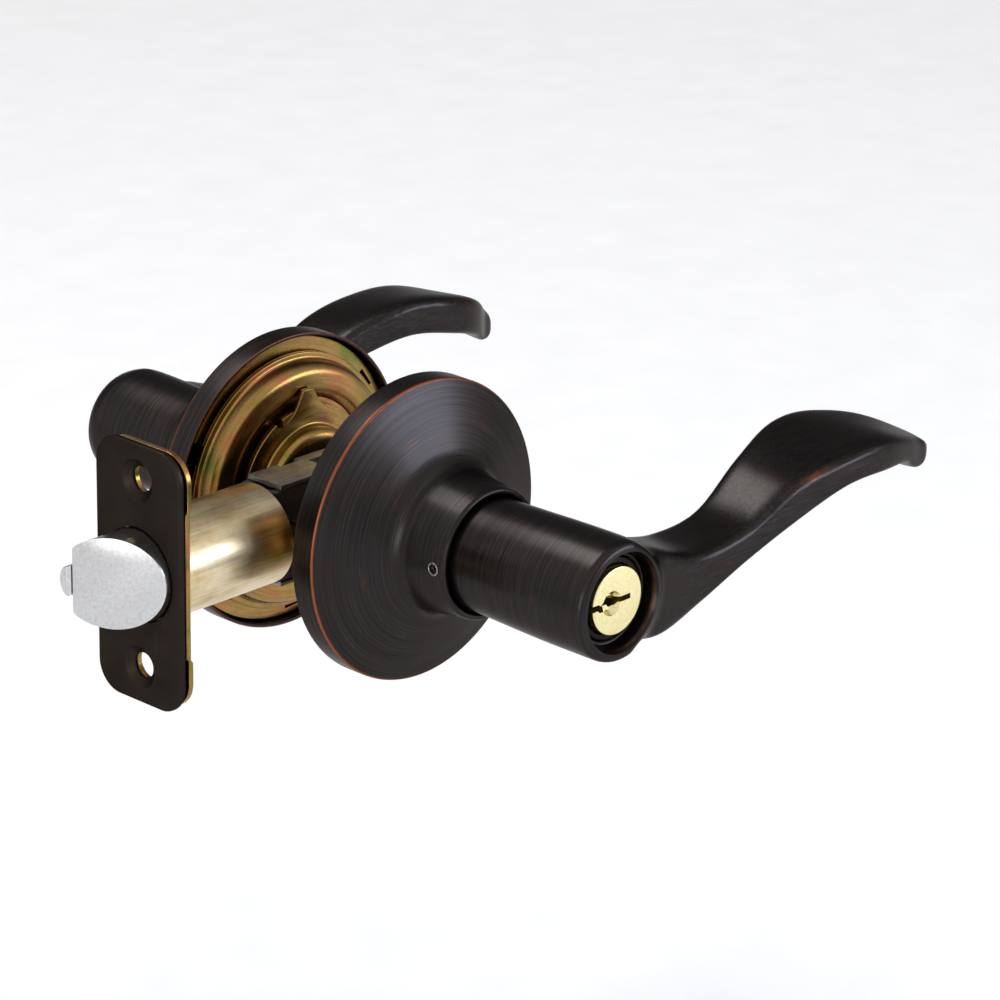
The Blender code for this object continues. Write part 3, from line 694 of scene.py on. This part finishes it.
def rose(word, side):
    """Pressed shell: upright rim, shallow cone, and a neck for the lever, with the catch's pinhole."""
    rim = DOOR + 5.6
    foot_r, foot_out = 15.9, 29.6    # where the cone meets the neck
    rise = (foot_out - rim) / (ROSE_R - foot_r)
    # rings close to the rim, so that its copper line stays narrow
    upright = [(ROSE_R, DOOR, 0.25), (ROSE_R, rim - 0.9), (ROSE_R, rim, 0.4)]
    cone = [(ROSE_R - gap, rim + gap * rise) for gap in (0.8, 1.2, 2.0)]
    neck = [(foot_r, foot_out, 3.8), (14.3, NECK_OUT, 0.9), (NECK_BORE_R, NECK_OUT, 0.4)]
    inner = [(NECK_BORE_R, 31.6, 2.0), (17.4, 27.7, 2.0), (31.6, 22.2, 0.8), (32.4, 21.6, 0.5),
             (32.4, DOOR, 0.25)]
    shell = lathe(word + "_rose_shell", eased(upright + cone + neck + inner, 7), about_y(side), steps=180)
    combined(shell, [pinhole(side, 1.25, -18, -10)])
    rim_wear = ring_wear(ROSE_R - 0.1, rim - 0.05, 0.36, 0.95)
    lip_wear = ring_wear(ROSE_R - 0.2, DOOR, 0.35, 0.5)
    paint(shell, "wear", lambda x, y, z: np.maximum(rim_wear(x, y, z), lip_wear(x, y, z)))
    finish_piece(shell, "lock_body", BRONZE, [word + "_rose"])
    eyelet = lathe(word + "_pinhole_eyelet", tube(1.5, 1.05, -14.75, -13.3, 0.15),
                   along_x(y=side * PINHOLE_OUT), steps=48)
    finish_piece(eyelet, "lock_body", GREY_STEEL)


def rose_liner(word, side):
    """Flat zinc ring inside the rose, with three bayonet slots near its edge."""
    ring = lathe(word + "_liner_ring", tube(32.0, 24.0, 19.6, 20.6, 0.3), about_y(side), steps=160)
    slots = []
    for turn in (35, 155, 275):
        angle = math.radians(turn)
        slot = box("slot", (28.6, -25, -2.4), (30.6, 25, 2.4))
        slot.data.transform(Matrix.Rotation(-angle, 4, 'Y'))
        slots.append(slot)
    combined(ring, slots)
    finish_piece(ring, "lock_body", YELLOW_ZINC, [word + "_rose_liner"])


def mounting_plate(word, side):
    """Pressed dish: a flange on the door and a boss inside its bore, holed for the hub and screws."""
    front = DOOR - 4.0
    boss = 26.3
    outline = eased([
        (PLATE_R, DOOR, 0.3), (boss + 1.2, DOOR, 0.6), (boss + 0.2, front, 4.2), (21.6, front, 1.4),
        (19.4, front + 1.3, 0.4), (19.9, front + 2.3, 0.3), (21.8, front + 1.2, 1.2),
        (boss - 1.2, front + 1.2, 3.0), (boss - 0.2, DOOR + PLATE_THICK, 0.6),
        (PLATE_R, DOOR + PLATE_THICK, 0.4)], 9)
    dish = lathe(word + "_plate_dish", outline, about_y(side), steps=160)
    if side > 0:
        holes = [lathe("hole", rod(2.0, 10, 20), along_y(x), steps=40) for x in (-SCREW_X, SCREW_X)]
        combined(dish, holes)
    finish_piece(dish, "lock_body", YELLOW_ZINC, [word + "_mounting_plate"])


def hub(word, side):
    """Drawn hub with a round boss, a flange, a pointed stop tab and a relief notch beside it."""
    flange_r, inner_r, sleeve_end = 18.5, 9.8, 52.0
    outline = eased([
        (0, 8.6), (13.9, 8.6, 3.0), (13.9, 12.6, 0.8), (flange_r, 12.6, 0.3), (flange_r, 13.8, 0.3),
        (SLEEVE_R, 13.8, 0.4), (SLEEVE_R, sleeve_end, 0.3), (inner_r, sleeve_end, 0.3), (inner_r, 10.4),
        (0, 10.4)], 6)
    made = lathe(word + "_hub_sleeve", outline, about_y(side), steps=144)
    tab = [(-6.4, 16.0), (6.8, 16.0), (5.0, 17.8), (3.4, 19.2), (1.6, 22.4), (-1.3, 22.5), (-3.0, 19.2),
           (-4.6, 17.2)]
    combined(made, [prism("tab", tab, on_xz, side * 12.05, side * 13.15, 0.2)], 'UNION')
    half = 3.3
    near, far = sorted((side * 7, side * 12))
    square = box("square", (-half, near, -half), (half, far, half))
    beside = [(-8.6, 15.6), (-6.8, 15.2), (-7.6, 19), (-9.6, 19)]
    notch = prism("notch", beside, on_xz, side * 12.2, side * 15)
    combined(made, [square, pinhole(side, 1.6, -13, -7), notch])
    finish_piece(made, word + "_lever", YELLOW_ZINC, [word + "_hub"])


# ---------------------------------------------------------------- key cylinder and turn button

def pin_chambers():
    """Cutters for the five pin stacks, which stand along X."""
    return [lathe("chamber", rod(1.45, 1.2, 10.9), along_x(y=-out), steps=24) for out in PIN_OUTS]


def cylinder_housing():
    """Ring round the plug with the block that holds the pins' upper halves."""
    bore, low = PLUG_R + 0.25, 53
    outline = [(bore, low), (CYLINDER_R, low, 0.3), (CYLINDER_R, RING_FACE, 0.5), (bore, RING_FACE, 0.25)]
    ring = lathe("cylinder_ring", eased(outline), about_y(-1), steps=128)
    bible = box("bible", (5, -75.2, -2.9), (11.3, -55.5, 2.9))
    combined(ring, [bible], 'UNION')
    combined(ring, [lathe("bore", rod(bore, 50, 80), about_y(-1), steps=128)] + pin_chambers())
    finish_piece(ring, "exterior_lever", FACE_BRONZE, ["cylinder_housing"])


def key_plug():
    """Turned plug with a warded keyway, a coned lead-in round it, and the lower pin chambers."""
    plug = lathe("plug_turned", rod(PLUG_R, 53.4, PLUG_FACE, 0.35), about_y(-1), steps=128)
    ward = [(-9, 0.7), (-5.6, 0.7), (-5.0, 0.2), (-4.3, 0.8), (-2.9, 0.8), (-2.3, 1.25), (-0.6, 1.25),
            (0.1, 0.75), (3.9, 0.75), (3.9, -0.45), (0.6, -0.45), (0.0, -1.1), (-1.5, -1.25), (-2.2, -0.5),
            (-3.6, -0.5), (-4.2, -1.2), (-5.3, -1.2), (-5.9, -0.6), (-9, -0.8)]
    keyway = prism("keyway", ward, on_xz, -80, -55.5)
    cone = eased([(0, 77.2), (1.7, 77.2), (2.7, PLUG_FACE, 0.1), (2.8, 80), (0, 80)])
    relief = lathe("relief", cone, lambda u, v, out: (-1.7 + u, -out, v - 0.1), steps=48)
    combined(plug, [keyway, relief] + pin_chambers())
    finish_piece(plug, "key_plug", BRASS, ["key_plug"])


def turn_button():
    """Round button with a thumb bar across it and a thin stem, its crown rubbed to copper."""
    low = BUSH_END + 2 * RUNNING_GAP
    base = lathe("button_turned", eased([
        (0, 44.4), (2.2, 44.4, 0.3), (2.2, low), (6.8, low, 0.2), (6.8, low + 3, 0.5), (0, low + 3)]),
        about_y(1), steps=96)
    bar = eased([(-1.6, low + 2), (1.6, low + 2), (1.5, BUTTON_TOP, 0.7), (-1.5, BUTTON_TOP, 0.7)])
    thumb = prism("thumb", bar, on_xy, -4.8, 4.8, 0.5)
    combined(base, [thumb], 'UNION')
    paint(base, "wear", lambda x, y, z: 0.5 * np.clip((y - BUTTON_TOP + 0.5) * 2, 0, 1))
    finish_piece(base, "turn_button", BRONZE, ["turn_button"])


# ---------------------------------------------------------------- the latch

def softened(thing, width, segments, angle):
    """Round every edge that turns by more than the angle."""
    soften = thing.modifiers.new("soften", 'BEVEL')
    soften.width = width * MM
    soften.segments = segments
    soften.limit_method = 'ANGLE'
    soften.angle_limit = math.radians(angle)
    applied(thing)


def faceplate():
    """Stamped plate with rounded corners, a hole for the bolt and two countersunk ones."""
    front, rear = FACE_FRONT, FACE_BACK
    outline = rounded_rectangle(FACE_WIDTH, FACE_HEIGHT, FACE_CORNER)
    plate = prism("faceplate_stamping", outline, on_yz, front, rear, 0.45, 4)
    cutters = [lathe("bolt hole", rod(BOLT_R + HOLE_GAP, front - 2, rear + 2), along_x(), steps=128)]
    sink = eased([(0, front - 1), (5.0, front - 1), (4.7, front, 0.5), (2.7, front + 1.4, 0.4),
                  (2.7, rear + 2), (0, rear + 2)])
    for z in (-FACE_HOLES, FACE_HOLES):
        cutters.append(lathe("countersink", sink, along_x(z=z), steps=72))
    combined(plate, cutters, smooth_angle=30)
    finish_piece(plate, "lock_body", FACE_BRONZE, ["latch_faceplate"])


def backplate():
    """Plated strip, its two ends set back, standing a hair inside the faceplate's outline."""
    front = BACK_FRONT
    strip = [(front, -15.6), (front, 15.6), (front + 0.6, 16.4), (front + 0.6, 30), (front + 1.8, 30),
             (front + 1.8, 17.0), (front + 1.2, 16.2), (front + 1.2, -16.2), (front + 1.8, -17.0),
             (front + 1.8, -30), (front + 0.6, -30), (front + 0.6, -16.4)]
    plate = prism("backplate_stamping", strip, on_xz, -14, 14)
    outline = rounded_rectangle(FACE_WIDTH - 0.3, FACE_HEIGHT - 1.2, FACE_CORNER)
    combined(plate, [prism("trim", outline, on_yz, front - 2, front + 4)], 'INTERSECT')
    cutters = [lathe("bolt hole", rod(BOLT_R + HOLE_GAP, front - 3, front + 5), along_x(), steps=128)]
    cutters += [lathe("screw hole", rod(3.3, front - 3, front + 5), along_x(z=z), steps=56)
                for z in (-FACE_HOLES, FACE_HOLES)]
    combined(plate, cutters, smooth_angle=30)
    softened(plate, 0.15, 2, 40)
    finish_piece(plate, "lock_body", YELLOW_ZINC, ["latch_backplate"])


def latch_tube():
    """Thin drawn tube that the bolt runs in."""
    barrel = lathe("tube_barrel", tube(TUBE_R, 10.2, TUBE_START, TUBE_END, 0.25), along_x(), steps=144)
    finish_piece(barrel, "lock_body", PALE_ZINC, ["latch_tube"])


def latch_case():
    """Bent steel channel behind the tube, its top and bottom legs narrowed and pierced near the front."""
    tall = CASE_Z
    channel = eased([(CASE_START, tall), (CASE_END, tall, 1.5), (CASE_END, -tall, 1.5), (CASE_START, -tall),
                     (CASE_START, 1 - tall), (CASE_END - 1, 1 - tall, 0.6), (CASE_END - 1, tall - 1, 0.6),
                     (CASE_START, tall - 1)])
    case = prism("case_channel", channel, on_xz, -CASE_Y, CASE_Y, 0.12, 2)
    cutters = []
    for z in (-tall, tall):
        cutters.append(box("side cut", (-16.5, 3.4, z - 3), (-11.0, 7, z + 3)))
        cutters.append(box("window", (-9.5, -2.2, z - 3), (2.5, 2.2, z + 3)))
    combined(case, cutters, smooth_angle=30)
    finish_piece(case, "lock_body", GREY_STEEL, ["latch_case"])


def latchbolt():
    """Sprung bolt: a round bar, flat on one side, its nose cut off on a slant, with a forked tail."""
    rear = BOLT_REAR
    bolt = lathe("bolt_bar", rod(BOLT_R, BOLT_TIP, rear, 0.35), along_x(), steps=128)
    bevel = [(BOLT_TIP - 0.4, 7.54), (BOLT_TIP + 10.9, -10.6), (BOLT_TIP - 8, -12), (BOLT_TIP - 8, 9)]
    combined(bolt, [
        prism("bevel", bevel, on_xy, -12, 12),
        box("flat", (BOLT_TIP - 2, 6.9, -12), (-42, 12, 12)),
        lathe("pocket", rod(4.3, -62, rear + 2), along_x(), steps=64)])
    arms = []
    for sign in (1, -1):
        outline = [(-44, 8.2), (-1.4, 8.2), (-1.4, 5.9), (0.8, 5.9), (0.8, 9.6), (-44, 9.6)]
        arms.append(prism("fork", [(x, sign * z) for x, z in outline], on_xz, -1.6, 1.6))
    combined(bolt, arms, 'UNION')
    softened(bolt, 0.25, 3, 35)
    bolt.data.shade_smooth()
    bolt.data.set_sharp_from_angle(angle=math.radians(40))
    finish_piece(bolt, "latchbolt", CHROME, ["latchbolt"])


def plunger():
    """Half-round bar that lies on the bolt's flat side."""
    flat, thick, half, steps = 7.2, 2.4, 3.3, 24
    turns = [math.pi * i / steps for i in range(1, steps)]
    arch = [(flat + thick * math.sin(turn), -half * math.cos(turn)) for turn in turns]
    section = [(flat, -half)] + arch + [(flat, half)]
    bar = prism("plunger_bar", section, on_yz, PLUNGER_TIP, PLUNGER_REAR, 0.25, 3)
    finish_piece(bar, "plunger", CHROME, ["deadlatch_plunger"])


# ---------------------------------------------------------------- springs, by Geometry Nodes

def spring_tree():
    """A wire swept along a spiral: named inputs for its radius, wire, turns and length."""
    tree = bpy.data.node_groups.new("wound_spring", 'GeometryNodeTree')
    tree.interface.new_socket("Geometry", in_out='OUTPUT', socket_type='NodeSocketGeometry')
    for name, kind in (("Coil radius", 'NodeSocketFloat'), ("Wire radius", 'NodeSocketFloat'),
                       ("Turns", 'NodeSocketFloat'), ("Length", 'NodeSocketFloat'),
                       ("Finish", 'NodeSocketMaterial')):
        tree.interface.new_socket(name, in_out='INPUT', socket_type=kind)
    source = tree.nodes.new('NodeGroupInput')
    spiral = tree.nodes.new('GeometryNodeCurveSpiral')
    spiral.inputs["Resolution"].default_value = 36
    section = tree.nodes.new('GeometryNodeCurvePrimitiveCircle')
    section.inputs["Resolution"].default_value = 10
    sweep = tree.nodes.new('GeometryNodeCurveToMesh')
    sweep.inputs["Fill Caps"].default_value = True
    real = tree.nodes.new('GeometryNodeRealizeInstances')
    dress = tree.nodes.new('GeometryNodeSetMaterial')
    sink = tree.nodes.new('NodeGroupOutput')
    for start, end in ((source.outputs["Coil radius"], spiral.inputs["Start Radius"]),
                       (source.outputs["Coil radius"], spiral.inputs["End Radius"]),
                       (source.outputs["Turns"], spiral.inputs["Rotations"]),
                       (source.outputs["Length"], spiral.inputs["Height"]),
                       (source.outputs["Wire radius"], section.inputs["Radius"]),
                       (spiral.outputs["Curve"], sweep.inputs["Curve"]),
                       (section.outputs["Curve"], sweep.inputs["Profile Curve"]),
                       (sweep.outputs["Mesh"], real.inputs["Geometry"]),
                       (real.outputs["Geometry"], dress.inputs["Geometry"]),
                       (source.outputs["Finish"], dress.inputs["Material"]),
                       (dress.outputs["Geometry"], sink.inputs["Geometry"])):
        tree.links.new(start, end)
    return tree


def spring(tree, node, body, radius, wire, turns, axis, middle=(0, 0)):
    """A wound spring that fills its CAD node's length along the given axis."""
    low = extent(node, axis, 0) + wire
    high = extent(node, axis, 1) - wire
    made = bpy.data.objects.new(node + "_wound", bpy.data.meshes.new(node + "_wound"))
    bpy.context.collection.objects.link(made)
    winding = made.modifiers.new("winding", 'NODES')
    winding.node_group = tree
    values = {"Coil radius": radius * MM, "Wire radius": wire * MM, "Turns": float(turns),
              "Length": (high - low) * MM, "Finish": SPRING_STEEL}
    for item in tree.interface.items_tree:
        if item.in_out == 'INPUT':
            winding[item.identifier] = values[item.name]
    applied(made)
    if axis == X:
        turned = Matrix.Rotation(math.radians(90), 4, 'Y')
        at = Vector((low, middle[0], middle[1])) * MM
    else:
        turned = Matrix.Rotation(math.radians(-90), 4, 'X')
        at = Vector((middle[0], low, middle[1])) * MM
    made.data.transform(Matrix.Translation(at) @ turned)
    made.data.shade_smooth()
    finish_piece(made, body, SPRING_STEEL, [node])


def all_springs():
    tree = spring_tree()
    spring(tree, "bolt_spring", "lock_body", 3.5, 0.45, 8, X)
    spring(tree, "plunger_spring", "latchbolt", 0.85, 0.22, 9, X, (8.35, 0))
    for word in ("exterior", "interior"):
        spring(tree, word + "_lever_spring", "lock_body", 13.2, 0.7, 3, Y)
    for i, out in enumerate(PIN_OUTS):
        spring(tree, "pin_spring_%d" % (i + 1), "exterior_lever", 0.9, 0.16, 2.5, X, (-out, 0))


# ---------------------------------------------------------------- the rest, stage, light and camera

def dress_cad_nodes():
    """CAD nodes whose shape is right as it is keep it and get a finish."""
    finishes = {"exterior_bearing_plate": YELLOW_ZINC, "interior_bearing_plate": YELLOW_ZINC,
                "exterior_retaining_ring": SPRING_STEEL, "interior_retaining_ring": SPRING_STEEL,
                "exterior_lever_catch": SPRING_STEEL, "interior_lever_catch": SPRING_STEEL,
                "tail_blade": SPRING_STEEL, "button_bush": BLACK, "cam_housing": BLACK,
                "screw_post_left": YELLOW_ZINC, "screw_post_right": YELLOW_ZINC,
                "mounting_screw_left": GREY_STEEL, "mounting_screw_right": GREY_STEEL,
                "latch_cam": GREY_STEEL, "spindle": YELLOW_ZINC}
    for i in range(len(PIN_OUTS)):
        finishes["key_pin_%d" % (i + 1)] = BRASS
        finishes["driver_pin_%d" % (i + 1)] = BRASS
    for node, surface in finishes.items():
        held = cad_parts[node]
        held.data.materials.clear()
        held.data.materials.append(surface)


def area_light(name, place, aim, size, power, colour="#ffffff"):
    lamp = bpy.data.lights.new(name, 'AREA')
    lamp.shape = 'RECTANGLE'
    lamp.size, lamp.size_y = (s * MM for s in size)
    lamp.energy = power
    lamp.color = linear(colour)[:3]
    made = bpy.data.objects.new(name, lamp)
    made.location = Vector(place) * MM
    made.rotation_euler = (Vector(aim) - Vector(place)).to_track_quat('-Z', 'Y').to_euler()
    bpy.context.collection.objects.link(made)


def stage():
    """Pale floor, wide enough to fill the view."""
    half_width, level = 6.0, -0.16    # metres
    bm = bmesh.new()
    bmesh.ops.create_grid(bm, x_segments=1, y_segments=1, size=half_width)
    floor = mesh_object("floor", bm)
    floor.data.transform(Matrix.Translation((0, 0, level)))
    floor.data.materials.append(pale_floor())


def room():
    """The room's own light: white in front of the lockset, falling to dim grey behind it."""
    world = bpy.data.worlds.new("soft_room")
    world.use_nodes = True
    tree = world.node_tree
    behind = (0.69, 0.65, 0.32)
    towards = add(tree, "TexCoord").outputs["Generated"]
    facing = add(tree, "VectorMath", {0: towards, 1: behind}, operation='DOT_PRODUCT').outputs["Value"]
    shade = ramp(tree, facing, ((0.30, "#f6f6f6"), (0.80, "#85858a")))
    tree.links.new(shade, tree.nodes["Background"].inputs["Color"])
    tree.nodes["Background"].inputs["Strength"].default_value = 1.08
    bpy.context.scene.world = world


def lamps():
    """Soft lamps: one above and behind for the shanks, one on the latch, one for the roses' faces."""
    area_light("rear_softbox", (-60, 520, 900), (0, -30, 0), (500, 260), 3.5)
    area_light("left_softbox", (-950, -350, 120), (0, 0, 0), (300, 500), 1.5)
    area_light("front_softbox", (560, -780, 190), (0, -40, 0), (550, 300), 4, "#dfe6ff")


def camera():
    """Long lens, from the latch side and a little above; Standard keeps the pale floor pale."""
    azimuth, elevation, roll = (math.radians(a) for a in (-46.665, 20.977, 0.975))
    distance, across, lifted = 971.9, 32.779, 0.336
    back = Vector((math.sin(azimuth) * math.cos(elevation), -math.cos(azimuth) * math.cos(elevation),
                   math.sin(elevation)))
    right = Vector((math.cos(azimuth), math.sin(azimuth), 0))
    up = back.cross(right)
    right, up = (right * math.cos(roll) + up * math.sin(roll), up * math.cos(roll) - right * math.sin(roll))
    lens = bpy.data.cameras.new("camera")
    lens.sensor_width = 36
    lens.lens = 162.97
    lens.clip_end = 100
    made = bpy.data.objects.new("camera", lens)
    turn = Matrix((right, up, back)).transposed().to_4x4()
    place = (right * across + up * lifted + back * distance) * MM
    made.matrix_world = Matrix.Translation(place) @ turn
    bpy.context.collection.objects.link(made)
    bpy.context.scene.camera = made
    bpy.context.scene.view_settings.view_transform = 'Standard'


both_levers()
for word, side in (("exterior", -1), ("interior", 1)):
    rose(word, side)
    rose_liner(word, side)
    mounting_plate(word, side)
    hub(word, side)
cylinder_housing()
key_plug()
turn_button()
faceplate()
backplate()
latch_tube()
latch_case()
latchbolt()
plunger()
all_springs()
dress_cad_nodes()
stage()
room()
lamps()
camera()
